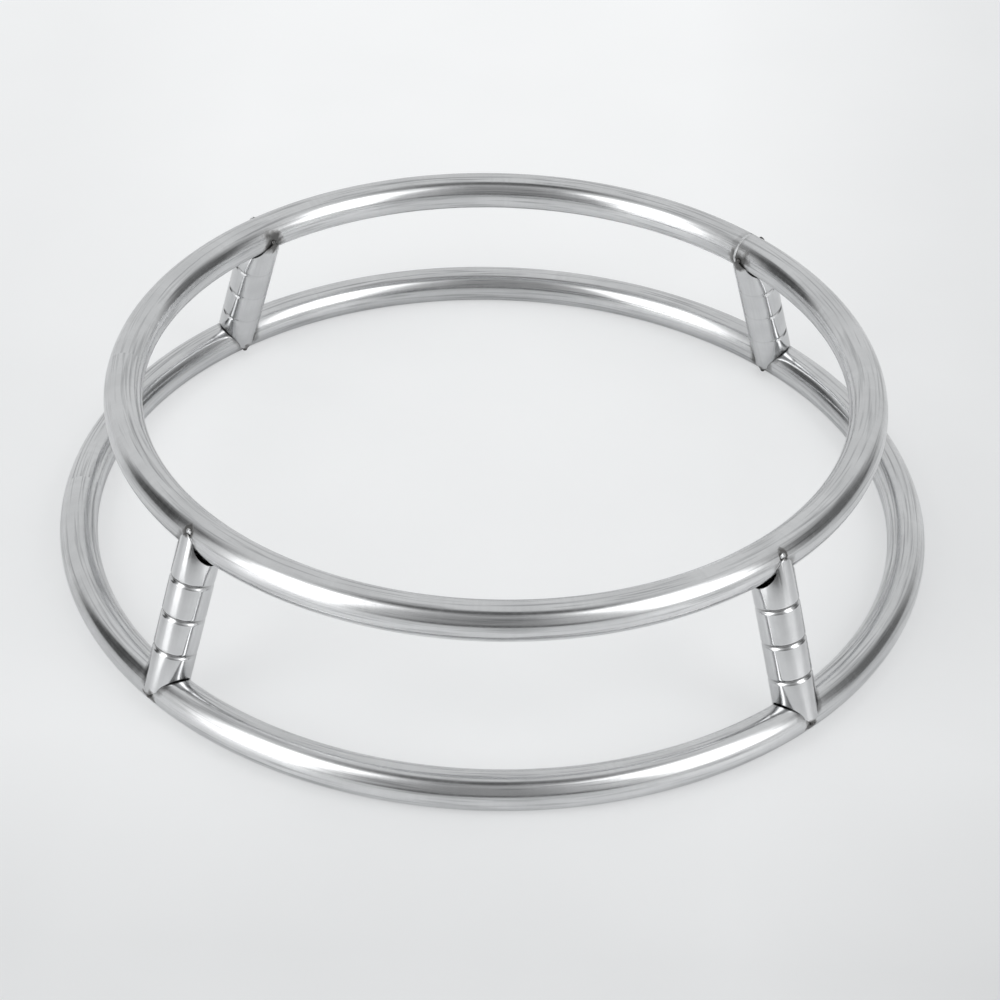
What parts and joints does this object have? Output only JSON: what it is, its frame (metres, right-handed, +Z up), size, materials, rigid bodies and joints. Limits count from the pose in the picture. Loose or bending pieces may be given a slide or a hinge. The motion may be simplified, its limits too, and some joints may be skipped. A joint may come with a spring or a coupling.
{
  "type": "wok ring",
  "caption": "Open stand of a narrow and a wide round tube ring, joined by slanting grooved struts, that holds a round-bottomed wok steady over a hob burner.",
  "frame": {"origin": "on the hob, under the middle of the rings", "axes": "+Z up, +X to the right as seen from the front, the front towards -Y"},
  "size_m": [0.232, 0.232, 0.051],
  "materials": {
    "polished_steel": "stainless steel tube, polished bright",
    "weld_metal": "stainless weld metal, heat tinted and lightly polished"
  },
  "bodies": {
    "root": {"seat_ring": "polished_steel", "foot_ring": "polished_steel", "seat_ring_seam_weld": "weld_metal", "strut_front_left": "polished_steel", "strut_front_right": "polished_steel", "strut_rear_left": "polished_steel", "strut_rear_right": "polished_steel", "seat_outer_weld_front_left": "weld_metal", "seat_outer_weld_front_right": "weld_metal", "seat_outer_weld_rear_left": "weld_metal", "seat_outer_weld_rear_right": "weld_metal", "seat_inner_weld_front_left": "weld_metal", "seat_inner_weld_front_right": "weld_metal", "seat_inner_weld_rear_left": "weld_metal", "seat_inner_weld_rear_right": "weld_metal", "foot_outer_weld_front_left": "weld_metal", "foot_outer_weld_front_right": "weld_metal", "foot_outer_weld_rear_left": "weld_metal", "foot_outer_weld_rear_right": "weld_metal", "foot_inner_weld_front_left": "weld_metal", "foot_inner_weld_front_right": "weld_metal", "foot_inner_weld_rear_left": "weld_metal", "foot_inner_weld_rear_right": "weld_metal"}
  },
  "joints": []
}
